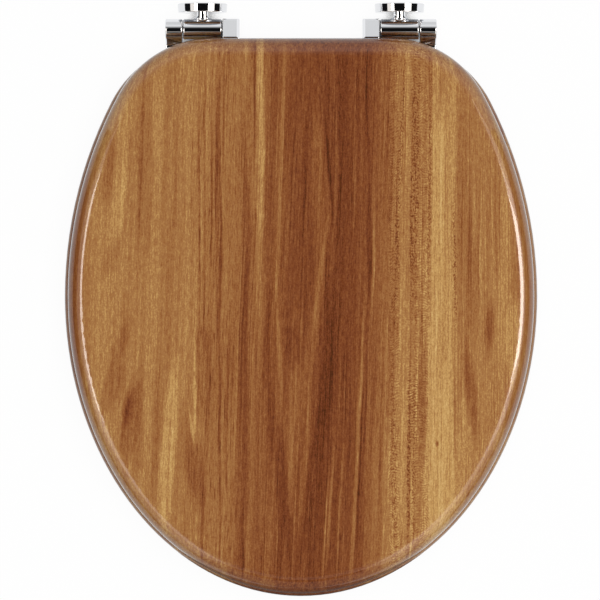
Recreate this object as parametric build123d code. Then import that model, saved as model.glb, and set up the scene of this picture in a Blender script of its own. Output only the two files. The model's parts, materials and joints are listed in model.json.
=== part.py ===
from build123d import *
import os
from math import asin, atan2, cos, degrees, radians, sin

# Toilet seat: a ring and a lid on two damped barrel hinges, lying flat with the hinge posts laid back.
# Millimetres, X to the right, Y to the back, Z up. The origin is on the table under the middle.

# Board outlines
ring_half_width = 186.0
ring_front_reach = 236.0       # widest line to the front tip
widest_to_axis = 210.0         # widest line to the hinge axis
ring_axis_gap = 10.0           # hinge axis to the ring's rear edge
side_radius = 337.0            # long arc from the widest line back
corner_radius = 86.0           # rear corners
lid_inset = 3.0                # the ring shows this much all round the lid
lid_axis_gap = 7.5             # hinge axis to the lid's rear edge
front_band = 78.0              # width of the ring's band in front
side_band = 74.0
rear_band = 82.0

# Board sections
ring_thickness = 15.0
ring_top_round = 7.0
ring_bottom_round = 4.0
lid_thickness = 18.0
lid_top_round = 14.0
lid_bottom_round = 3.0

# Hinge barrels and knuckles
post_spacing = 155.0
axis_height = 20.0             # hinge axis above the table, and above the bowl in use
barrel_diameter = 16.2
barrel_length = 30.0
barrel_edge = 0.7
knuckle_gap = 0.8
knuckle_length = 13.4
leaf_thickness = 3.0
leaf_reach = 64.0              # hinge axis to the front end of each leaf
leaf_end_round = 5.5
leaf_edge = 1.0
web_reach = 11.0               # hinge axis to the toe of the seat leaf's web
block_lip = 1.5                # front of the lid leaf's block above the lid's underside
block_back_drop = 1.3          # back of the block below the top of the barrel
block_front_round = 0.8
block_back_round = 2.0
block_bevel_width = 2.2        # bevel along the block's free end
block_bevel_drop = 1.2
leaf_lid_clearance = 0.3       # block to the lid's rear edge
leaf_ring_clearance = 0.6      # lid leaf over the ring

# Posts and feet
neck_diameter = 9.2
neck_flare = 3.8
spigot_diameter = 8.0
foot_disc_diameter = 39.4
foot_disc_taper = 0.6          # the disc's rim narrows this much towards the barrel
foot_disc_thickness = 7.0
foot_disc_edge = 0.7
foot_swing_clearance = 0.5     # foot disc under the seat leaf when the post hangs down
foot_pad_thickness = 1.5
foot_pad_outer_diameter = 33.0
foot_pad_inner_diameter = 12.0
fixing_hole_diameter = 5.0     # core of the M6 thread for the fixing stud
fixing_hole_depth = 11.0

# Inside the barrels
barrel_bore_diameter = 11.2
key_flat = 4.6                 # hinge axis to the flat that keys the damper in the barrel
bush_length = 9.5
core_gap = 0.5                 # damper to bush
pivot_diameter = 6.0
shaft_flats = 4.4              # across the flats that key the damper's shaft in the lid leaf
socket_depth = 10.0
pivot_seat = 8.5               # depth of pin and shaft in the bush and the damper
seat_clearance = 0.05          # pieces that are fixed in each other, and running fits
end_clearance = 0.4
washer_thickness = 0.5
washer_outer_diameter = 14.6
washer_inner_diameter = 6.6

# Leaf screws
screw_near = 30.0              # hinge axis to each screw
screw_far = 52.0
screw_length = 13.0
screw_head_diameter = 6.8
screw_head_height = 1.9
screw_shank_diameter = 3.5
screw_point = 3.0
recess_width = 0.9
recess_length = 3.8
recess_depth = 1.1

# Buffers
ring_buffer_length = 36.0
ring_buffer_width = 14.0
ring_buffer_round = 1.5
front_buffer_bearing = 55.0    # degrees round the band from the widest line to the front
rear_buffer_bearing = 40.0
lid_buffer_diameter = 18.0
lid_buffer_bearing = 62.0
lid_buffer_round = 0.8
lid_buffer_clearance = 0.3
peg_diameter = 6.0
peg_length = 6.0
peg_spacing = 18.0

# Worked out from the sizes above
ring_tip = widest_to_axis + ring_front_reach
axis_y = (ring_tip - axis_height) / 2
widest_y = axis_y - widest_to_axis
ring_bottom = foot_disc_thickness + foot_swing_clearance + leaf_thickness
ring_top = ring_bottom + ring_thickness
board_gap = leaf_thickness + leaf_ring_clearance
lid_bottom = ring_top + board_gap
barrel_radius = barrel_diameter / 2
damper_length = barrel_length - bush_length - core_gap
knuckle_start = barrel_length / 2 + knuckle_gap
knuckle_middle = knuckle_start + knuckle_length / 2
seat_plate_top = ring_bottom - axis_height
lid_plate_top = lid_bottom - axis_height
block_front_rise = lid_plate_top + block_lip
block_back_rise = barrel_radius - block_back_drop
block_front = lid_axis_gap - leaf_lid_clearance
foot_disc_top = axis_height - foot_disc_thickness
ring_rear_reach = widest_to_axis - ring_axis_gap
opening_half_width = ring_half_width - side_band
opening_front_reach = ring_front_reach - front_band
opening_rear_reach = ring_rear_reach - rear_band

os.makedirs("parts", exist_ok=True)


def board_outline(half_width, rear_reach, front_reach, side, corner):
    """Half-ellipse in front, then a long arc and a corner arc on each side of a straight rear edge."""
    lean = asin((rear_reach - corner) / (side - corner))
    side_centre = half_width - side
    corner_x = side_centre + (side - corner) * cos(lean)
    front = EllipticalCenterArc((0, 0), half_width, front_reach, 180, arc_size=180)
    right_side = CenterArc((side_centre, 0), side, 0, degrees(lean))
    right_corner = CenterArc((corner_x, rear_reach - corner), corner, degrees(lean), 90 - degrees(lean))
    rear = Line((corner_x, rear_reach), (-corner_x, rear_reach))
    right = [right_side, right_corner]
    left = [mirror(arc, about=Plane.YZ) for arc in right]
    return make_face(Curve() + [front, rear] + right + left)


def opening_outline():
    front = EllipticalCenterArc((0, 0), opening_half_width, opening_front_reach, 180, arc_size=180)
    rear = EllipticalCenterArc((0, 0), opening_half_width, opening_rear_reach, 0, arc_size=180)
    return make_face(Curve() + [front, rear])


def on_band(bearing, ring_reach, opening_reach, back):
    """Place on the middle of the ring's band, turned along it."""
    across = (ring_half_width + opening_half_width) / 2
    along = back * (ring_reach + opening_reach) / 2
    turn = radians(bearing)
    heading = degrees(atan2(along * cos(turn), -across * sin(turn)))
    return Pos(across * cos(turn), widest_y + along * sin(turn), 0) * Rot(0, 0, heading)


front_buffer_place = on_band(front_buffer_bearing, ring_front_reach, opening_front_reach, -1)
rear_buffer_place = on_band(rear_buffer_bearing, ring_rear_reach, opening_rear_reach, 1)
lid_buffer_place = on_band(lid_buffer_bearing, ring_front_reach, opening_front_reach, -1)


def both_sides(shape):
    return [shape, mirror(shape, about=Plane.YZ)]


def peg(clearance=0.0):
    return extrude(Circle(peg_diameter / 2 + clearance), peg_length + clearance)


def buffer_pegs(clearance=0.0):
    return [Pos(x, 0, ring_bottom) * peg(clearance) for x in (-peg_spacing / 2, peg_spacing / 2)]


def screw_blank(clearance=0.0):
    """Countersunk wood screw pointing up, its head's face at the origin."""
    head = screw_head_diameter / 2 + clearance
    shank = screw_shank_diameter / 2 + clearance
    outline = Polyline(
        (0, 0), (head, 0), (shank, screw_head_height), (shank, screw_length - screw_point),
        (0, screw_length + clearance), close=True,
    )
    return revolve(Plane.XZ * make_face(outline), Axis.Z)


def screw():
    slot = Box(recess_length, recess_width, 2 * recess_depth)
    return screw_blank() - slot - Rot(0, 0, 90) * slot


def leaf_screw_places(x, plate_top):
    level = plate_top - leaf_thickness
    return [Pos(x, -reach, level) for reach in (screw_near, screw_far)]


seat_screw_places = leaf_screw_places(knuckle_middle, seat_plate_top)
lid_screw_places = leaf_screw_places(-knuckle_middle, lid_plate_top)
hinge = Pos(post_spacing / 2, axis_y, axis_height)


def seat_ring():
    outline = board_outline(ring_half_width, ring_rear_reach, ring_front_reach, side_radius, corner_radius)
    board = Pos(0, widest_y, ring_bottom) * extrude(outline - opening_outline(), ring_thickness)
    board = fillet(board.faces().sort_by(Axis.Z)[-1].edges(), ring_top_round)
    board = fillet(board.faces().sort_by(Axis.Z)[0].edges(), ring_bottom_round)
    for place in (front_buffer_place, rear_buffer_place):
        for hole in buffer_pegs(seat_clearance):
            board -= both_sides(place * hole)
    for place in seat_screw_places:
        board -= both_sides(hinge * place * screw_blank(seat_clearance))
    return board


def lid():
    outline = board_outline(
        ring_half_width - lid_inset, widest_to_axis - lid_axis_gap, ring_front_reach - lid_inset,
        side_radius - lid_inset, corner_radius - lid_inset,
    )
    board = Pos(0, widest_y, lid_bottom) * extrude(outline, lid_thickness)
    board = fillet(board.faces().sort_by(Axis.Z)[-1].edges(), lid_top_round)
    board = fillet(board.faces().sort_by(Axis.Z)[0].edges(), lid_bottom_round)
    board -= both_sides(lid_buffer_place * Pos(0, 0, lid_bottom) * peg(seat_clearance))
    for place in lid_screw_places:
        board -= both_sides(hinge * place * screw_blank(seat_clearance))
    return board


def ring_buffer():
    pad = extrude(SlotOverall(ring_buffer_length, ring_buffer_width), ring_bottom)
    pad = fillet(pad.faces().sort_by(Axis.Z)[0].edges(), ring_buffer_round)
    return pad + buffer_pegs()


def lid_buffer():
    height = board_gap - lid_buffer_clearance
    pad = Pos(0, 0, lid_bottom - height) * extrude(Circle(lid_buffer_diameter / 2), height)
    pad = fillet(pad.faces().sort_by(Axis.Z)[0].edges(), lid_buffer_round)
    return pad + Pos(0, 0, lid_bottom) * peg()


def pivot_profile(clearance=0.0):
    return Circle(pivot_diameter / 2 + clearance)


def keyed_pivot_profile(clearance=0.0):
    """Round shaft with two flats."""
    across = shaft_flats + 2 * clearance
    return pivot_profile(clearance) & Rectangle(pivot_diameter * 2, across)


def barrel_core_profile(clearance=0.0):
    """Round core with one flat, which keys it in the barrel."""
    core = Circle(barrel_bore_diameter / 2 - clearance)
    below = barrel_bore_diameter
    return core - Pos(0, -key_flat + clearance - below / 2) * Rectangle(2 * below, below)


def along_axis(profile, start, end):
    """Profile across the hinge axis, drawn out along it."""
    return extrude(Plane.YZ.offset(start) * profile, end - start)


def finish_leaf(leaf, screw_places):
    """Round front end, eased edges and countersunk holes."""
    front_corners = leaf.edges().filter_by(Axis.Z).sort_by(Axis.Y)[:2]
    leaf = fillet(front_corners, leaf_end_round)
    ends = leaf.faces().filter_by(Axis.X).edges()
    leaf = fillet(ends, leaf_edge)
    for place in screw_places:
        leaf -= place * screw_blank(seat_clearance)
    return leaf


def seat_leaf():
    """Round knuckle, a web down to the toe, and a plate forward under the ring."""
    toe = leaf_thickness / 2
    web = make_hull((Circle(barrel_radius) + Pos(-web_reach, seat_plate_top - toe) * Circle(toe)).edges())
    plate_length = leaf_reach - web_reach
    plate = Pos(-web_reach - plate_length / 2, seat_plate_top - toe) * Rectangle(plate_length, leaf_thickness)
    leaf = along_axis(web + plate, knuckle_start, knuckle_start + knuckle_length)
    leaf = finish_leaf(leaf, seat_screw_places)
    return leaf - along_axis(pivot_profile(seat_clearance), knuckle_start, knuckle_start + socket_depth)


def block_bevel():
    """Wedge that takes the bevel off the top of the lid leaf's block."""
    fall = atan2(block_front_rise - block_back_rise, block_front + barrel_radius)
    corner = Plane(
        origin=(-knuckle_start - knuckle_length, -block_front, block_front_rise),
        x_dir=(1, 0, 0), z_dir=(0, cos(fall), -sin(fall)),
    )
    width = block_bevel_width
    outline = Polyline((width, 0), (-width, 2 * block_bevel_drop), (-width, -width), (width, -width), close=True)
    return extrude(corner * make_face(outline), 2 * barrel_diameter, both=True)


def lid_leaf():
    """Flat-topped block round the axis, and a plate forward under the lid."""
    plate_bottom = lid_plate_top - leaf_thickness
    outline = Polyline(
        (-leaf_reach, plate_bottom), (-barrel_radius, plate_bottom), (-barrel_radius, 0), (barrel_radius, 0),
        (barrel_radius, block_back_rise), (-block_front, block_front_rise), (-block_front, lid_plate_top),
        (-leaf_reach, lid_plate_top), close=True,
    )
    profile = make_face(outline) + Circle(barrel_radius)
    top_back = profile.vertices().sort_by_distance((barrel_radius, block_back_rise))[0]
    profile = fillet(top_back, block_back_round)
    top_front = profile.vertices().sort_by_distance((-block_front, block_front_rise))[0]
    profile = fillet(top_front, block_front_round)
    leaf = along_axis(profile, -knuckle_start - knuckle_length, -knuckle_start)
    leaf = finish_leaf(leaf, lid_screw_places) - block_bevel()
    return leaf - along_axis(keyed_pivot_profile(seat_clearance), -knuckle_start - socket_depth, -knuckle_start)


def hinge_post():
    """Barrel with a flared neck to the back, and a spigot that carries the foot disc."""
    half = barrel_length / 2
    seam_to_front = Rot(180, 0, 0)
    barrel = seam_to_front * along_axis(Circle(barrel_radius), -half, half)
    barrel = fillet(barrel.edges().filter_by(GeomType.CIRCLE), barrel_edge)
    neck = Rot(-90, 0, 0) * extrude(Circle(neck_diameter / 2), foot_disc_top)
    post = barrel + neck
    neck_root = post.edges().filter_by(GeomType.BSPLINE)
    post = fillet(neck_root, neck_flare)
    post += Pos(0, foot_disc_top, 0) * Rot(-90, 0, 0) * extrude(Circle(spigot_diameter / 2), foot_disc_thickness)
    post -= along_axis(barrel_core_profile(), -half, half)
    drill = Rot(90, 0, 0) * extrude(Circle(fixing_hole_diameter / 2), fixing_hole_depth)
    return post - Pos(0, axis_height, 0) * drill


def foot_disc():
    bore = spigot_diameter / 2 + seat_clearance
    base = foot_disc_diameter / 2
    outline = Polyline(
        (bore, foot_disc_top), (base - foot_disc_taper, foot_disc_top), (base, axis_height),
        (bore, axis_height), close=True,
    )
    disc = revolve(make_face(outline), Axis.Y)
    rims = disc.edges().filter_by(GeomType.CIRCLE).sort_by(SortBy.RADIUS)[-2:]
    disc = fillet(rims, foot_disc_edge)
    return disc - foot_pad(seat_clearance)


def foot_pad(clearance=0.0):
    ring = Circle(foot_pad_outer_diameter / 2 + clearance) - Circle(foot_pad_inner_diameter / 2 - clearance)
    return Pos(0, axis_height, 0) * Rot(90, 0, 0) * extrude(ring, foot_pad_thickness)


def damper_body():
    start = -barrel_length / 2
    body = along_axis(barrel_core_profile(seat_clearance), start, start + damper_length)
    return body - along_axis(pivot_profile(seat_clearance), start, start + pivot_seat + end_clearance)


def damper_shaft():
    start = -barrel_length / 2
    shaft = along_axis(pivot_profile(), -knuckle_start, start + pivot_seat)
    return shaft + along_axis(keyed_pivot_profile(), -knuckle_start - socket_depth + end_clearance, -knuckle_start)


def pivot_bush():
    end = barrel_length / 2
    body = along_axis(barrel_core_profile(seat_clearance), end - bush_length, end)
    return body - along_axis(pivot_profile(seat_clearance), end - bush_length, end)


def pivot_pin():
    end = knuckle_start + socket_depth - end_clearance
    return along_axis(pivot_profile(), barrel_length / 2 - pivot_seat, end)


def hinge_washers():
    ring = Circle(washer_outer_diameter / 2) - Circle(washer_inner_diameter / 2)
    half = barrel_length / 2
    return [along_axis(ring, half, half + washer_thickness), along_axis(ring, -half - washer_thickness, -half)]


def save(name, shape):
    export_step(shape, f"parts/{name}.step")


def save_pair(name, solids):
    """Right-hand piece and its mirror image on the left."""
    right = Compound(solids) if len(solids) > 1 else solids[0]
    save("right_" + name, right)
    save("left_" + name, mirror(right, about=Plane.YZ))


save("seat_ring", seat_ring())
save("lid", lid())
save_pair("front_ring_buffer", [front_buffer_place * ring_buffer()])
save_pair("rear_ring_buffer", [rear_buffer_place * ring_buffer()])
save_pair("lid_buffer", [lid_buffer_place * lid_buffer()])
save_pair("seat_leaf", [hinge * seat_leaf()])
save_pair("lid_leaf", [hinge * lid_leaf()])
save_pair("seat_leaf_screws", [hinge * place * screw() for place in seat_screw_places])
save_pair("lid_leaf_screws", [hinge * place * screw() for place in lid_screw_places])
save_pair("hinge_post", [hinge * hinge_post()])
save_pair("foot_disc", [hinge * foot_disc()])
save_pair("foot_pad", [hinge * foot_pad()])
save_pair("damper_body", [hinge * damper_body()])
save_pair("damper_shaft", [hinge * damper_shaft()])
save_pair("pivot_bush", [hinge * pivot_bush()])
save_pair("pivot_pin", [hinge * pivot_pin()])
save_pair("hinge_washers", [hinge * washer for washer in hinge_washers()])
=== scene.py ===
import json
from math import atan2, cos, hypot, radians, sin

import bpy
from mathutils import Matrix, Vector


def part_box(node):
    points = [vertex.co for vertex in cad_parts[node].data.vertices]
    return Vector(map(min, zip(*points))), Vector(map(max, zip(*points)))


# Toilet seat in lacquered brown wood with chrome hinges, seen from straight above.
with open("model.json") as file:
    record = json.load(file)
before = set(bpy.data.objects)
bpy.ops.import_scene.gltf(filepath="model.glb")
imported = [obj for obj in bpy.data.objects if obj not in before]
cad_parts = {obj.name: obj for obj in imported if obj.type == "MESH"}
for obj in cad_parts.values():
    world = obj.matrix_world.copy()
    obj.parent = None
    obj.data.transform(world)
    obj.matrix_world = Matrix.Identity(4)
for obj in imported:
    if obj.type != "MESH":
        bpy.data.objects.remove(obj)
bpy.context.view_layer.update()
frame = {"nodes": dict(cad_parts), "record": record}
nodes = frame["nodes"]

mm_per_m = 1000

# Kinds of sockets on node groups
NUMBER, VECTOR, COLOUR = "NodeSocketFloat", "NodeSocketVector", "NodeSocketColor"


# Small helpers for node trees
def seen(red, green, blue):
    """A colour as it looks on a screen, from 0 to 255, turned into the linear values that shaders take."""
    parts = [value / 255 for value in (red, green, blue)]
    linear = [p / 12.92 if p <= 0.04045 else ((p + 0.055) / 1.055) ** 2.4 for p in parts]
    return (*linear, 1.0)


def join(tree, source, socket):
    """Links an output to an input, or sets a plain value on it."""
    if isinstance(source, bpy.types.NodeSocket):
        tree.links.new(source, socket)
    else:
        socket.default_value = source


def sums(tree, operation, *values):
    """One step of arithmetic."""
    step = tree.nodes.new("ShaderNodeMath")
    step.operation = operation
    for value, socket in zip(values, step.inputs):
        join(tree, value, socket)
    return step.outputs["Value"]


def total(tree, *values):
    """All the values added up."""
    result = values[0]
    for value in values[1:]:
        result = sums(tree, "ADD", result, value)
    return result


def rise(tree, value, start, end, low=0.0, high=1.0):
    """Goes smoothly from low to high while value goes from start to end."""
    step = tree.nodes.new("ShaderNodeMapRange")
    step.interpolation_type = "SMOOTHSTEP"
    given = {"Value": value, "From Min": start, "From Max": end, "To Min": low, "To Max": high}
    for name, source in given.items():
        join(tree, source, step.inputs[name])
    return step.outputs["Result"]


def parted(tree, vector):
    """The X, Y and Z of a vector."""
    split = tree.nodes.new("ShaderNodeSeparateXYZ")
    join(tree, vector, split.inputs["Vector"])
    return [split.outputs[name] for name in "XYZ"]


def put_together(tree, x, y, z=0.0):
    """A vector from its X, Y and Z."""
    place = tree.nodes.new("ShaderNodeCombineXYZ")
    for name, source in zip("XYZ", (x, y, z)):
        join(tree, source, place.inputs[name])
    return place.outputs["Vector"]


def drawn_noise(tree, across, along, depth, width, length, detail=2.0):
    """Noise with marks of this width and length in millimetres, from about -1 to 1."""
    sizes = ((across, width), (along, length), (depth, width))
    noise = tree.nodes.new("ShaderNodeTexNoise")
    noise.inputs["Scale"].default_value = 1.0
    noise.inputs["Detail"].default_value = detail
    place = put_together(tree, *(sums(tree, "DIVIDE", value, size) for value, size in sizes))
    join(tree, place, noise.inputs["Vector"])
    stretch = 3.2
    return sums(tree, "MULTIPLY_ADD", noise.outputs["Fac"], stretch, -stretch / 2)


def new_group(name, inputs, outputs):
    """Empty shader node group with its sockets, and the nodes that stand for them."""
    tree = bpy.data.node_groups.new(name, "ShaderNodeTree")
    for label, kind in inputs:
        tree.interface.new_socket(label, in_out="INPUT", socket_type=kind)
    for label, kind in outputs:
        tree.interface.new_socket(label, in_out="OUTPUT", socket_type=kind)
    entry = tree.nodes.new("NodeGroupInput")
    exit_ = tree.nodes.new("NodeGroupOutput")
    return tree, entry, exit_


def place_group(tree, group, **given):
    """A node group in a material, with what its inputs are given."""
    made = tree.nodes.new("ShaderNodeGroup")
    made.node_tree = group
    for label, source in given.items():
        join(tree, source, made.inputs[label.replace("_", " ")])
    return made


def mixed_shaders(tree, share, first, second):
    """The first shader, with this share of the second."""
    mix = tree.nodes.new("ShaderNodeMixShader")
    for source, socket in zip((share, first, second), mix.inputs):
        join(tree, source, socket)
    return mix.outputs["Shader"]


def new_finish(name):
    """Empty material with its shader, and a place in millimetres on the piece."""
    finish = bpy.data.materials.new(name)
    finish.use_nodes = True
    tree = finish.node_tree
    coordinate = tree.nodes.new("ShaderNodeTexCoord")
    mapping = tree.nodes.new("ShaderNodeMapping")
    mapping.inputs["Scale"].default_value = (mm_per_m, mm_per_m, mm_per_m)
    tree.links.new(coordinate.outputs["Object"], mapping.inputs["Vector"])
    return finish, tree, tree.nodes["Principled BSDF"], mapping


# Wood figure, in millimetres from the middle of the board

# Tones of the planks from the left edge to the right, 0 dark heartwood and 1 golden sapwood. The lower
# tones near both ends lie over the rounded side edges and are painted shade.
plank_and_edge_shade_tones = [
    (-190, 0.46), (-177, 0.52), (-168, 0.76), (-150, 0.82), (-128, 0.76), (-115, 0.80),
    (-104, 0.73), (-95, 0.75), (-86, 0.78), (-78, 0.75), (-66, 0.68), (-58, 0.68),
    (-50, 0.65), (-45, 0.49), (-40, 0.54), (-36, 0.58), (-28, 0.46), (-22, 0.51),
    (-10, 0.38), (0, 0.36), (8, 0.37), (22, 0.34), (30, 0.32), (42, 0.36), (54, 0.45), (64, 0.56),
    (74, 0.70), (79, 0.82), (82, 0.82), (86, 0.75), (93, 0.76), (97, 0.82), (101, 0.94), (117, 0.92),
    (122, 0.74), (128, 0.66), (138, 0.75), (148, 0.75), (157, 0.81), (164, 0.71), (171, 0.69),
    (179, 0.64), (190, 0.60),
]
plank_reach = -plank_and_edge_shade_tones[0][0]

# Strokes: front end, back end, half width, softness, change of tone
strokes = {
    "left_dark_line": ((-129, 20), (-121, 220), 0.8, 1.8, -0.24),
    "left_dark_line_outer": ((-139, 25), (-131.5, 150), 0.7, 1.6, -0.18),
    "left_pale_streak": ((-143, 40), (-135.5, 120), 1.8, 2.5, 0.12),
    "left_rear_flame": ((-155, 62), (-144, 142), 3.0, 5.0, -0.20),
    "left_soft_line": ((-101, 0), (-95, 165), 0.5, 1.6, -0.14),
    "left_soft_shade": ((-124, -10), (-118, 185), 2.5, 3.0, -0.10),
    "left_curl": ((-155, 14), (-141, 52), 2.5, 5.0, -0.13),
    "left_speck": ((-108.6, 25), (-108.2, 30), 0.3, 0.6, -0.30),
    "left_flame_arm": ((-155, -72), (-131, -4), 2.0, 5.0, -0.17),
    "left_flame_patch": ((-155, -94), (-141, -46), 4.0, 6.0, -0.17),
    "left_flame_tongue": ((-139, -134), (-126, -46), 4.0, 5.0, -0.20),
    "left_flame_edge": ((-143.5, -124), (-133.5, -66), 0.6, 1.8, -0.18),
    "left_flame_core": ((-138, -104), (-131.5, -62), 2.2, 3.6, -0.17),
    "left_flame_foot": ((-127, -150), (-124, -78), 5.0, 8.0, -0.12),
    "golden_patch": ((-109, -205), (-98, -30), 4.5, 3.0, 0.21),
    "shade_right_of_patch": ((-92, -145), (-90, -72), 3.0, 3.0, -0.10),
    "shade_left_of_patch": ((-116, -172), (-112, -60), 1.5, 2.5, -0.10),
    "golden_patch_side": ((-121, -150), (-119, -70), 2.0, 3.0, 0.12),
    "pale_vein": ((-82, -128), (-83, -14), 0.6, 1.2, 0.28),
    "pale_vein_branch": ((-81, -124), (-88.5, -74), 0.4, 1.0, 0.24),
    "dark_cloud": ((-80, -172), (-85, -98), 4.0, 5.0, -0.26),
    "red_cloud": ((-75, -102), (-75.5, -12), 6.0, 5.0, -0.12),
    "pore_line_a": ((-80.2, -125), (-78.5, 215), 0.35, 0.9, -0.24),
    "pore_line_b": ((-76, -35), (-74, 210), 0.35, 0.9, -0.20),
    "pore_line_c": ((-70.5, 5), (-68.5, 200), 0.35, 0.9, -0.22),
    "pore_line_d": ((-60, 65), (-59.5, 215), 0.35, 0.9, -0.18),
    "pore_line_front": ((-77, -240), (-76.3, -105), 0.5, 1.1, -0.26),
    "long_pore_band": ((-65.4, -60), (-64.6, 215), 1.6, 1.2, -0.16),
    "long_pore_line": ((-63.4, -330), (-62.8, 250), 0.45, 0.9, -0.24),
    "short_pore_line": ((-76, -52), (-75.6, 28), 0.5, 1.0, -0.22),
    "tiny_pore_line": ((-58.6, -154), (-58.6, -124), 0.3, 0.8, -0.28),
    "front_pore_line": ((-46, -228), (-45.6, -180), 0.4, 0.9, -0.26),
    "dark_band": ((-46, -235), (-42, 120), 1.8, 2.4, -0.14),
    "seam_line": ((-37.4, 80), (-34.8, 235), 0.4, 0.8, -0.32),
    "golden_stripe": ((-33.0, -50), (-31.6, 330), 3.0, 1.2, 0.22),
    "golden_stripe_side": ((-37.6, 50), (-42.2, 235), 3.0, 1.4, 0.16),
    "red_beside_stripe": ((-27, -125), (-24.5, 25), 2.0, 2.0, -0.10),
    "golden_line_right": ((-32.6, -50), (-31.6, 330), 1.2, 1.5, 0.09),
    "pale_thread": ((-22.4, -40), (-11.2, 230), 0.8, 1.5, 0.24),
    "pale_thread_front": ((-14.9, -110), (-21.3, 55), 0.6, 1.4, 0.20),
    "right_limb": ((5, -75), (22.5, 80), 1.6, 2.6, 0.16),
    "heart_flame": ((14.5, 20), (11.5, 160), 4.5, 4.0, 0.17),
    "heart_limb_line": ((6, -45), (26, 95), 0.7, 1.4, 0.16),
    "heart_pale": ((-2.8, -194), (-1.8, 5), 6.3, 4.0, 0.14),
    "heart_core": ((-7, -62), (-6, -12), 3.0, 4.0, -0.14),
    "heart_left_flank": ((-8.5, -212), (-24, -68), 3.0, 3.5, -0.14),
    "heart_right_flank": ((-0.5, -214), (18, -58), 3.5, 3.5, -0.12),
    "dark_beside_limb": ((13, -125), (24.5, 25), 5.0, 4.0, -0.11),
    "flame_border": ((27.5, 30), (16, 172), 0.5, 1.2, -0.22),
    "heart_line_a": ((31, 20), (28, 205), 0.4, 1.2, -0.12),
    "heart_line_b": ((43, 20), (41, 210), 0.6, 1.4, 0.10),
    "front_pale_thread": ((18.5, -250), (26.5, -92), 0.5, 1.0, 0.30),
    "front_pale_thread_left": ((15.5, -245), (23, -115), 0.4, 0.9, 0.26),
    "front_pale_thread_right": ((27.5, -222), (34, -88), 0.4, 1.0, 0.24),
    "right_pale_thread": ((37.2, -248), (47.2, -42), 1.2, 1.4, 0.26),
    "right_pale_thread_rear": ((43, -112), (53.2, 28), 1.4, 1.4, 0.22),
    "right_dark_trail": ((41, -225), (49, -35), 0.4, 1.1, -0.22),
    "right_dark_line": ((48, -78), (53.0, 30), 0.4, 1.0, -0.28),
    "right_dark_rear": ((53.6, -10), (52.2, 100), 1.6, 1.6, -0.20),
    "right_dark_rear_line": ((53, 60), (50.2, 200), 0.4, 1.1, -0.16),
    "right_pale_line": ((54.3, -25), (57.2, 80), 0.7, 1.0, 0.26),
    "right_front_light": ((51, -232), (56, -50), 3.0, 3.5, 0.08),
    "right_front_line": ((61.7, -165), (62.4, -92), 0.3, 0.8, -0.20),
    "right_gold_band": ((66, -238), (69, -78), 2.2, 2.0, 0.14),
    "right_gold_column": ((85.2, -235), (86.8, -95), 0.8, 1.0, 0.26),
    "red_column": ((95, -140), (95.5, -16), 1.6, 2.4, -0.20),
    "gold_left_rear": ((97.5, 10), (100.5, 270), 2.2, 2.2, -0.12),
    "gold_front": ((110, -230), (111, -45), 9.0, 5.0, 0.07),
    "gold_front_right": ((123.8, -200), (127.8, -60), 3.5, 3.5, 0.20),
    "gold_rear": ((108, 120), (108, 320), 8.0, 4.0, -0.16),
    "red_streak": ((146, -48), (149.5, 6), 1.5, 3.0, -0.30),
    "red_streak_front": ((137, -120), (129, -28), 2.0, 3.6, -0.24),
    "right_soft_shade": ((136, -42), (133, 100), 1.6, 3.0, -0.13),
    "right_soft_gold": ((160, -90), (156.5, 50), 2.0, 3.0, 0.10),
    "right_edge_gold": ((165.5, -78), (166.5, 10), 4.0, 3.5, 0.20),
    "tiny_knot": ((105.4, -115), (106.4, -109.5), 0.6, 0.9, -0.45),
    "gold_edge_front": ((120.0, -165), (120.2, -5), 0.3, 0.7, -0.24),
}

# Strokes that are broken up into dashes
dashed_strokes = {
    "ripple_left": ((71.0, -60), (83.3, 240), 0.8, 1.5, -0.42),
    "ripple_left_front": ((74.8, -235), (70.8, -20), 0.8, 1.5, -0.36),
    "ripple_right": ((85.4, -60), (89.4, 240), 0.6, 1.3, -0.42),
    "ripple_right_twin": ((88.0, -60), (92.6, 240), 0.6, 1.3, -0.38),
    "ripple_right_front": ((82.6, -235), (85.2, -30), 0.6, 1.2, -0.42),
    "ripple_right_front_twin": ((86.8, -235), (88.6, -30), 0.6, 1.2, -0.42),
    "ripple_edge": ((97.5, -60), (103, 240), 0.7, 1.1, -0.36),
    "gold_edge": ((120.8, -40), (119.8, 100), 0.6, 0.9, -0.44),
}

# Bands with more open pores, and with curled grain: middle, half width, softness, strength
pore_bands = [(-70.0, 13.0, 7.0, 0.85), (-42.0, 8.0, 5.0, 0.30), (85.0, 16.0, 6.0, 0.45)]
curl_bands = [(73.0, 2.5, 3.0, 0.50), (94.0, 3.5, 3.0, 0.50), (84.0, 15.0, 5.0, 0.20)]

# Changes of tone by grain: coarse streaks, fine streaks, fibres, specks, pores and curls
broad_change, middling_change, fibre_change, speckle_change = 0.06, 0.12, 0.16, 0.14
pore_change, curl_change = -0.26, 0.22

# Wood tones from dark pore to sapwood
wood_tones = [
    (0.00, seen(74, 38, 16)), (0.20, seen(108, 53, 25)), (0.40, seen(132, 73, 37)),
    (0.60, seen(152, 97, 52)), (0.80, seen(170, 120, 69)), (1.00, seen(197, 153, 91)),
    (1.25, seen(220, 184, 122)),
]
tone_reach = wood_tones[-1][0]


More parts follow.
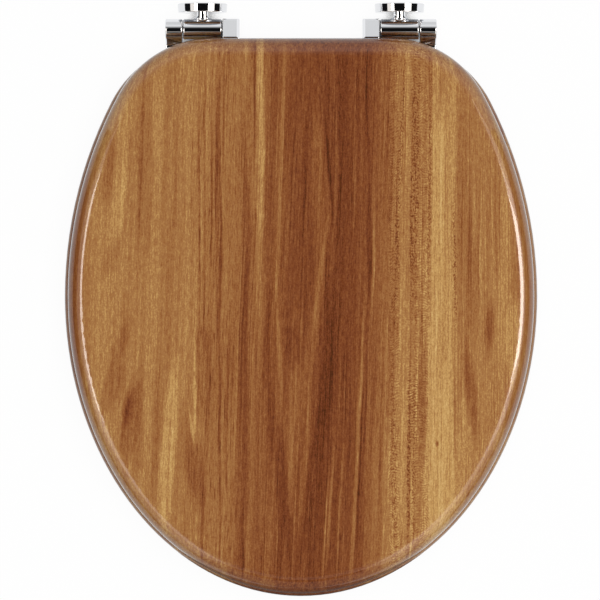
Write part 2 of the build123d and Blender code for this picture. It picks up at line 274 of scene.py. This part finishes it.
def wood_figure_group():
    """Colour and grain of the board. Across is X and along is Y, and the figure runs on over the edges."""
    tree, entry, exit_ = new_group(
        "wood_figure",
        [("Place", VECTOR), ("Face Height", NUMBER)],
        [("Colour", COLOUR), ("Gloss", NUMBER)],
    )
    x, y, z = parted(tree, entry.outputs["Place"])

    def calc(operation, *values):
        """One step of arithmetic in this group."""
        return sums(tree, operation, *values)

    def grain(line, width, length, detail=2.0):
        """Noise along the board, with marks of this width and length."""
        return drawn_noise(tree, line, y, z, width, length, detail)

    def off(value, middle):
        """Distance of a value from the middle."""
        return calc("ABSOLUTE", calc("SUBTRACT", value, middle))

    # Down the side edges the film goes on outwards
    edge_start, edge_end, edge_share = 60.0, 172.0, 0.8
    side = rise(tree, calc("ABSOLUTE", x), edge_start, edge_end)
    drop = calc("SUBTRACT", entry.outputs["Face Height"], z)
    outwards = calc("MULTIPLY", calc("SIGN", x), calc("MULTIPLY", side, drop))
    wrapped = calc("MULTIPLY_ADD", outwards, edge_share, x)

    # Lines wander a little, and lean to the left towards the front except on the right
    slow_wander, quick_wander = 1.6, 0.5
    wander = total(
        tree,
        calc("MULTIPLY", grain(wrapped, 38.0, 170.0), slow_wander),
        calc("MULTIPLY", grain(wrapped, 7.0, 45.0), quick_wander),
    )
    drawn = calc("ADD", wrapped, wander)
    left_lean, right_lean, lean_start, lean_end = 0.035, 0.005, 55.0, 100.0
    lean = calc("MULTIPLY", rise(tree, x, lean_start, lean_end, left_lean, right_lean), y)
    across = calc("SUBTRACT", drawn, lean)

    # Planks, with painted shade at both ends where they run over the side edges
    planks = tree.nodes.new("ShaderNodeFloatCurve")
    curve = planks.mapping.curves[0]
    spots = [((middle + plank_reach) / (2 * plank_reach), tone) for middle, tone in plank_and_edge_shade_tones]
    curve.points[0].location = spots[0]
    curve.points[1].location = spots[-1]
    for spot in spots[1:-1]:
        curve.points.new(*spot)
    planks.mapping.update()
    from_left = calc("ADD", across, plank_reach)
    join(tree, calc("DIVIDE", from_left, 2 * plank_reach), planks.inputs["Value"])
    tone = planks.outputs["Value"]

    sheet = put_together(tree, drawn, y)

    def stroke(front, back, half, soft, surface=sheet):
        """Long soft mark from its front end to its back end, pointed at both."""
        across_by, along_by = back[0] - front[0], back[1] - front[1]
        mapping = tree.nodes.new("ShaderNodeMapping")
        mapping.vector_type = "TEXTURE"
        middle = ((front[0] + back[0]) / 2, (front[1] + back[1]) / 2, 0)
        mapping.inputs["Location"].default_value = middle
        mapping.inputs["Rotation"].default_value = (0, 0, -atan2(across_by, along_by))
        mapping.inputs["Scale"].default_value = (half + soft, hypot(across_by, along_by) / 2, 1)
        join(tree, surface, mapping.inputs["Vector"])
        oval = tree.nodes.new("ShaderNodeTexGradient")
        oval.gradient_type = "SPHERICAL"
        join(tree, mapping.outputs["Vector"], oval.inputs["Vector"])
        core = calc("MULTIPLY", oval.outputs["Fac"], (half + soft) / soft)
        core.node.use_clamp = True
        return core

    # Strokes laid over the planks, a little uneven along their length
    uneven_by, usual_strength = 0.35, 0.95
    uneven = calc("MULTIPLY_ADD", grain(across, 3.0, 22.0), uneven_by, usual_strength)
    change = 0.0
    for front, back, half, soft, amount in strokes.values():
        change = calc("MULTIPLY_ADD", stroke(front, back, half, soft), amount, change)
    tone = calc("MULTIPLY_ADD", change, uneven, tone)

    # Nested arches of the heart
    arch_x, arch_y, arch_slope, arch_change = 1.0, -20.0, 0.075, 0.12
    heart_x, heart_half, heart_edge = 2.0, 12.0, 40.0
    arch = calc("MULTIPLY_ADD", off(y, arch_y), arch_slope, off(across, arch_x))
    arches = grain(arch, 3.2, 260.0, 3.0)
    in_heart = rise(tree, off(across, heart_x), heart_half, heart_edge, arch_change, 0.0)
    tone = calc("MULTIPLY_ADD", arches, in_heart, tone)

    # Streaks and fibres
    middling = grain(across, 2.4, 110.0, 3.0)
    layers = (
        (grain(across, 8.0, 240.0), broad_change),
        (middling, middling_change),
        (grain(across, 1.0, 7.0), fibre_change),
        (grain(wrapped, 0.9, 1.4, 1.0), speckle_change),
    )
    for layer, amount in layers:
        tone = calc("MULTIPLY_ADD", layer, amount, tone)

    # Fine straight lines, pale and dark, fainter in the left plank
    pale_change, dark_change = 0.13, 0.16
    left_plank_end, next_plank_start, left_plank_share = -94.0, -80.0, 0.4
    lines = grain(across, 1.1, 150.0, 1.0)
    pale_lines = rise(tree, lines, -0.7, -0.25, pale_change, 0.0)
    dark_lines = rise(tree, lines, 0.2, 0.7, 0.0, dark_change)
    lined = calc("SUBTRACT", pale_lines, dark_lines)
    line_share = rise(tree, across, left_plank_end, next_plank_start, left_plank_share, 1.0)
    tone = calc("MULTIPLY_ADD", lined, line_share, tone)

    def column(middle, half, soft, strength):
        """Band along the board with soft sides."""
        band = rise(tree, off(drawn, middle), half, half + soft, 1.0, 0.0)
        return calc("MULTIPLY", band, strength)

    # Open pores, dense in some planks
    pores = rise(tree, grain(across, 0.9, 18.0, 1.5), 0.25, 0.7)
    pores_anywhere = 0.25
    pore_planks = total(tree, pores_anywhere, *(column(*band) for band in pore_bands))
    tone = calc("MULTIPLY_ADD", calc("MULTIPLY", pores, pore_planks), pore_change, tone)

    # Curled grain in the plank beside the golden one, strongest in a short ladder of marks
    curl_x, fan_share, along_share = 85.0, 0.7, 1.4
    wave_rate, swirl_share, chatter_share = 2.1, 2.2, 0.7
    ladder_y, ladder_half, ladder_edge, off_ladder = -82.0, 14.0, 40.0, 0.2
    turn = grain(wrapped, 9.0, 45.0, 1.0)
    fan = calc("MULTIPLY", calc("SUBTRACT", wrapped, curl_x), turn)
    slant = calc("MULTIPLY_ADD", fan, fan_share, calc("MULTIPLY", y, along_share))
    swirl = grain(wrapped, 3.0, 5.0)
    wave = calc("MULTIPLY_ADD", swirl, swirl_share, calc("MULTIPLY", slant, wave_rate))
    patches = rise(tree, grain(across, 3.0, 14.0), -0.7, 0.6, 0.1, 1.0)
    chatter = calc("MULTIPLY", calc("SINE", wave), patches)
    ticks = grain(wrapped, 2.4, 1.2, 1.0)
    curl = calc("MULTIPLY_ADD", chatter, chatter_share, ticks)
    on_ladder = rise(tree, off(y, ladder_y), ladder_half, ladder_edge, 1.0, off_ladder)
    ladder = column(86.5, 2.5, 2.0, on_ladder)
    curl_columns = total(tree, ladder, *(column(*band) for band in curl_bands))
    tone = calc("MULTIPLY_ADD", calc("MULTIPLY", curl, curl_columns), curl_change, tone)

    # Dashed strokes, with ruffled sides
    ruffle_by = 1.2
    ruffled_across = calc("MULTIPLY_ADD", grain(wrapped, 2.4, 1.7, 1.0), ruffle_by, drawn)
    ruffled = put_together(tree, ruffled_across, y)
    dashes = rise(tree, grain(across, 1.1, 1.7, 1.0), -0.25, 0.35)
    for front, back, half, soft, amount in dashed_strokes.values():
        broken = calc("MULTIPLY", stroke(front, back, half, soft, ruffled), dashes)
        tone = calc("MULTIPLY_ADD", broken, amount, tone)

    # Tone into colour, and streaks of duller wood
    smooth, dull = 0.16, 0.26
    ramp = tree.nodes.new("ShaderNodeValToRGB")
    elements = ramp.color_ramp.elements
    elements[0].position, elements[0].color = wood_tones[0]
    elements[1].position, elements[1].color = 1.0, wood_tones[-1][1]
    for level, colour in wood_tones[1:-1]:
        elements.new(level / tone_reach).color = colour
    join(tree, calc("DIVIDE", tone, tone_reach), ramp.inputs["Fac"])
    join(tree, ramp.outputs["Color"], exit_.inputs["Colour"])
    join(tree, rise(tree, middling, -1.0, 1.0, smooth, dull), exit_.inputs["Gloss"])
    return tree


wood_figure = wood_figure_group()
ring_sheet_shift = (21, 34, 0)


def lacquered_wood(name, face_height, mirrored):
    """Board with a film of figured wood under clear lacquer. The ring's film lies the other way round."""
    finish, tree, shader, mapping = new_finish(name)
    if mirrored:
        mapping.inputs["Scale"].default_value = (-mm_per_m, -mm_per_m, mm_per_m)
        mapping.inputs["Location"].default_value = ring_sheet_shift
    figure = place_group(tree, wood_figure, Place=mapping.outputs["Vector"], Face_Height=face_height)
    join(tree, figure.outputs["Colour"], shader.inputs["Base Color"])
    join(tree, figure.outputs["Gloss"], shader.inputs["Roughness"])
    shader.inputs["Specular IOR Level"].default_value = 0.1
    shader.inputs["Coat Weight"].default_value = 1.0
    shader.inputs["Coat Roughness"].default_value = 0.03
    shader.inputs["Coat IOR"].default_value = 1.5
    return finish


# Metal, rubber and plastic
def handling_marks_group():
    """Smudges that dull a metal between its clean and dull roughness, and fine scratches from wiping."""
    tree, entry, exit_ = new_group(
        "handling_marks",
        [("Place", VECTOR), ("Clean", NUMBER), ("Dull", NUMBER)],
        [("Roughness", NUMBER), ("Scratches", NUMBER)],
    )
    place = parted(tree, entry.outputs["Place"])
    clean, dull = entry.outputs["Clean"], entry.outputs["Dull"]
    smudges = rise(tree, drawn_noise(tree, *place, width=9.0, length=9.0, detail=3.0), -0.1, 1.0)
    wiped = drawn_noise(tree, *place, width=0.25, length=5.0)
    spread = sums(tree, "SUBTRACT", dull, clean)
    join(tree, sums(tree, "MULTIPLY_ADD", smudges, spread, clean), exit_.inputs["Roughness"])
    join(tree, rise(tree, wiped, 0.2, 1.0), exit_.inputs["Scratches"])
    return tree


def moulded_skin_group():
    """Cloudy colour between light and dark, and the fine grain of a moulded surface."""
    tree, entry, exit_ = new_group(
        "moulded_skin",
        [("Place", VECTOR), ("Light", COLOUR), ("Dark", COLOUR)],
        [("Colour", COLOUR), ("Roughness", NUMBER), ("Height", NUMBER)],
    )
    place = parted(tree, entry.outputs["Place"])
    clouds = drawn_noise(tree, *place, width=6.0, length=6.0, detail=3.0)
    speck = drawn_noise(tree, *place, width=0.35, length=0.35)
    blend = tree.nodes.new("ShaderNodeMix")
    blend.data_type = "RGBA"
    dark_in, light_in = (socket for socket in blend.inputs if socket.type == "RGBA")
    colour_out = next(socket for socket in blend.outputs if socket.type == "RGBA")
    join(tree, entry.outputs["Dark"], dark_in)
    join(tree, entry.outputs["Light"], light_in)
    shade = rise(tree, total(tree, clouds, sums(tree, "MULTIPLY", speck, 0.6)), -1.2, 1.2)
    join(tree, shade, blend.inputs["Factor"])
    join(tree, colour_out, exit_.inputs["Colour"])
    join(tree, rise(tree, clouds, -1.0, 1.0, 0.42, 0.62), exit_.inputs["Roughness"])
    join(tree, speck, exit_.inputs["Height"])
    return tree


handling_marks = handling_marks_group()
moulded_skin = moulded_skin_group()
scratch_depth, skin_depth = 0.00002, 0.00005


def with_bump(tree, shader, height, depth, strength):
    """Fine relief on a surface. Depth in metres."""
    bump = tree.nodes.new("ShaderNodeBump")
    bump.inputs["Distance"].default_value = depth
    bump.inputs["Strength"].default_value = strength
    join(tree, height, bump.inputs["Height"])
    join(tree, bump.outputs["Normal"], shader.inputs["Normal"])


def metal(name, colour, clean, dull, scratches):
    """Metal with its roughness where clean and where dull, and the strength of its scratches."""
    finish, tree, shader, mapping = new_finish(name)
    shader.inputs["Base Color"].default_value = colour
    shader.inputs["Metallic"].default_value = 1.0
    wear = place_group(tree, handling_marks, Place=mapping.outputs["Vector"], Clean=clean, Dull=dull)
    join(tree, wear.outputs["Roughness"], shader.inputs["Roughness"])
    with_bump(tree, shader, wear.outputs["Scratches"], scratch_depth, scratches)
    return finish


def moulded(name, light, dark, relief):
    """Rubber or plastic with its two shades, and the strength of its relief."""
    finish, tree, shader, mapping = new_finish(name)
    skin = place_group(tree, moulded_skin, Place=mapping.outputs["Vector"], Light=light, Dark=dark)
    join(tree, skin.outputs["Colour"], shader.inputs["Base Color"])
    join(tree, skin.outputs["Roughness"], shader.inputs["Roughness"])
    with_bump(tree, shader, skin.outputs["Height"], skin_depth, relief)
    return finish


# Finishes on the pieces
lid_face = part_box("lid")[1].z * mm_per_m
ring_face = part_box("seat_ring")[1].z * mm_per_m
finishes = {
    "chrome": metal("polished_chrome", (0.80, 0.81, 0.83, 1), 0.025, 0.07, 0.05),
    "buffer_rubber": moulded("buffer_rubber", seen(74, 56, 44), seen(56, 41, 32), 0.5),
    "pad_rubber": moulded("foot_pad_rubber", seen(172, 172, 168), seen(148, 148, 144), 0.5),
    "screw_steel": metal("zinc_plated_screws", (0.58, 0.58, 0.57, 1), 0.18, 0.34, 0.3),
    "pivot_steel": metal("ground_pivot_steel", (0.56, 0.56, 0.57, 1), 0.14, 0.30, 0.5),
    "damper_plastic": moulded("damper_plastic", seen(232, 231, 226), seen(216, 215, 208), 0.25),
    "washer_plastic": moulded("washer_plastic", seen(44, 44, 45), seen(28, 28, 29), 0.25),
}
for row in frame["record"]["subparts"]:
    if row["material_slot"] in finishes:
        nodes[row["node"]].material_slots[0].material = finishes[row["material_slot"]]
nodes["lid"].material_slots[0].material = lacquered_wood("lacquered_lid", lid_face, False)
nodes["seat_ring"].material_slots[0].material = lacquered_wood("lacquered_ring", ring_face, True)


# White floor and background
def shown_rays(tree):
    """1 for rays from the camera, from mirrors and through glass."""
    path = tree.nodes.new("ShaderNodeLightPath")
    rays = [path.outputs[name] for name in ("Is Camera Ray", "Is Glossy Ray", "Is Transmission Ray")]
    either = sums(tree, "MAXIMUM", rays[0], rays[1])
    return sums(tree, "MAXIMUM", either, rays[2])


def flat_card(name, middle, size, turn, material):
    """Stage card: a plane at its size, place and turn."""
    bpy.ops.object.select_all(action="DESELECT")
    bpy.ops.mesh.primitive_plane_add(size=1.0, location=middle, rotation=turn)
    card = bpy.context.object
    card.name = name
    card.scale = (*size, 1.0)
    bpy.ops.object.transform_apply(location=True, rotation=True, scale=True)
    card.data.materials.append(material)
    return card


def white_floor():
    """White paper that keeps the object's shadow, and can't be seen from below."""
    paper_colour, shown_white = (0.9, 0.9, 0.9, 1), 0.95
    shadow_reach, darkest_open, lightest_open = 0.06, 0.06, 0.28
    finish = bpy.data.materials.new("white_floor")
    finish.use_nodes = True
    tree = finish.node_tree
    tree.nodes.remove(tree.nodes["Principled BSDF"])
    paper = tree.nodes.new("ShaderNodeBsdfDiffuse")
    paper.inputs["Color"].default_value = paper_colour
    glow = tree.nodes.new("ShaderNodeEmission")
    openness = tree.nodes.new("ShaderNodeAmbientOcclusion")
    openness.inputs["Distance"].default_value = shadow_reach
    join(tree, rise(tree, openness.outputs["AO"], darkest_open, lightest_open), glow.inputs["Strength"])
    shown = sums(tree, "MULTIPLY", shown_rays(tree), shown_white)
    top = mixed_shaders(tree, shown, paper.outputs["BSDF"], glow.outputs["Emission"])
    side = tree.nodes.new("ShaderNodeNewGeometry")
    clear = tree.nodes.new("ShaderNodeBsdfTransparent")
    one_sided = mixed_shaders(tree, side.outputs["Backfacing"], top, clear.outputs["BSDF"])
    join(tree, one_sided, tree.nodes["Material Output"].inputs["Surface"])
    return finish


def white_studio():
    """World that shows white, and gives the object a soft fill light."""
    fill_colour, fill_strength = (1.0, 0.99, 0.98, 1), 0.27
    world = bpy.data.worlds.new("white_studio")
    world.use_nodes = True
    tree = world.node_tree
    fill = tree.nodes["Background"]
    fill.inputs["Color"].default_value = fill_colour
    fill.inputs["Strength"].default_value = fill_strength
    white = tree.nodes.new("ShaderNodeBackground")
    white.inputs["Color"].default_value = (1, 1, 1, 1)
    white.inputs["Strength"].default_value = 1.0
    sky = mixed_shaders(tree, shown_rays(tree), fill.outputs["Background"], white.outputs["Background"])
    join(tree, sky, tree.nodes["World Output"].inputs["Surface"])
    return world


floor_height, level = -0.0002, (0, 0, 0)
floor = flat_card("floor", (0, 0, floor_height), (12, 12), level, white_floor())
floor.visible_diffuse = False
bpy.context.scene.world = white_studio()


# Dark drapes that only mirror finishes show: overhead, in front and at the sides, thinner at the back
def dark_drape(name, clear_share=0.0, thins_from_to=None):
    """Drape cloth with a share of it left clear. It can thin out to that from one Y to another."""
    cloth = bpy.data.materials.new(name)
    cloth.use_nodes = True
    tree = cloth.node_tree
    shader = tree.nodes["Principled BSDF"]
    shader.inputs["Base Color"].default_value = (0.02, 0.02, 0.022, 1)
    shader.inputs["Roughness"].default_value = 0.9
    shader.inputs["Specular IOR Level"].default_value = 0.0
    clear = tree.nodes.new("ShaderNodeBsdfTransparent")
    if thins_from_to:
        place = tree.nodes.new("ShaderNodeTexCoord")
        towards_back = parted(tree, place.outputs["Object"])[1]
        clear_share = rise(tree, towards_back, *thins_from_to, 0.0, clear_share)
    drape = mixed_shaders(tree, clear_share, shader.outputs["BSDF"], clear.outputs["BSDF"])
    join(tree, drape, tree.nodes["Material Output"].inputs["Surface"])
    return cloth


thick_cloth = dark_drape("dark_drape")
front_cloth = dark_drape("thin_front_drape", 0.35)
back_cloth = dark_drape("thin_back_drape", 0.75)
floor_cloth = dark_drape("floor_drape", 0.12)
fading_cloth = dark_drape("drape_thinning_out", 0.88, (0.7, 3.8))
upright, sideways = (radians(90), 0, 0), (0, radians(90), 0)
drapes = [
    flat_card("drape_overhead", (0, 1.0, 5.0), (13, 11), level, fading_cloth),
    flat_card("drape_back", (0, 6.5, 2.5), (13, 5), upright, back_cloth),
    flat_card("drape_front", (0, -4.5, 2.5), (9, 5), upright, front_cloth),
    flat_card("drape_left", (-4.5, -1.2, 2.5), (5, 6.6), sideways, thick_cloth),
    flat_card("drape_right", (4.5, -1.2, 2.5), (5, 6.6), sideways, thick_cloth),
    flat_card("drape_front_floor", (0, -2.2, 0.001), (0.2, 4.1), level, floor_cloth),
]
for drape in drapes:
    drape.visible_camera = False
    drape.visible_diffuse = False
    drape.visible_shadow = False

# Flag behind the hinges that keeps fill light off the rear edges
rear_flag = flat_card("rear_flag", (0, 0.75, -0.3), (2.4, 1.4), upright, front_cloth)
rear_flag.visible_camera = False
rear_flag.visible_glossy = False
rear_flag.visible_transmission = False
rear_flag.visible_shadow = False


# Lamps, given by the direction they stand in and how far they reach
def softbox(name, off_zenith, bearing, distance, height, width, power):
    """Bearing in degrees from +X towards +Y. Height is measured along the tilt, width round the object."""
    tilt, turn = radians(off_zenith), radians(bearing)
    where = (distance * sin(tilt) * cos(turn), distance * sin(tilt) * sin(turn), distance * cos(tilt))
    bpy.ops.object.light_add(type="AREA", location=where, rotation=(0, tilt, turn))
    lamp = bpy.context.object
    lamp.name = name
    lamp.data.shape = "RECTANGLE"
    lamp.data.size = height
    lamp.data.size_y = width
    lamp.data.energy = power
    lamp.visible_camera = False
    return lamp


# A broad panel overhead lights the wood, and strips and veils around it give the lacquer its highlights
warm_white = (1.0, 0.94, 0.87)
panel = softbox("panel_overhead", 8, 0, 3.0, 2.4, 2.4, 80)
panel.visible_glossy = False
strips = [
    softbox("strip_right", 36.5, 1, 2.2, 0.75, 0.64, 16),
    softbox("strip_right_inner_skirt", 40, 1, 2.25, 0.80, 0.95, 7),
    softbox("strip_right_skirt", 43, 1, 2.3, 1.10, 1.60, 10),
    softbox("strip_left", 31.5, 181, 2.2, 0.42, 0.85, 9.4),
    softbox("strip_left_skirt", 41, 185, 2.3, 1.40, 1.55, 7),
    softbox("strip_front_left", 38, 216, 2.2, 0.60, 1.40, 3.6),
    softbox("strip_front_right", 40, 320, 2.2, 0.80, 1.20, 3.8),
    softbox("strip_front", 27, 270, 2.2, 0.35, 1.40, 0.6),
    softbox("veil_front_left", 52, 220, 2.4, 2.20, 1.60, 9),
    softbox("veil_front_right", 52, 318, 2.4, 2.20, 1.60, 10),
]
for strip in strips:
    strip.data.color = warm_white
    strip.visible_diffuse = False

# Camera straight above with a long lens
camera_place = (-0.0008, 0.0, 4.02)
bpy.ops.object.camera_add(location=camera_place, rotation=(0, 0, 0))
camera = bpy.context.object
camera.data.sensor_width = 36
camera.data.lens = 305
bpy.context.scene.camera = camera
bpy.context.scene.view_settings.view_transform = "Standard"
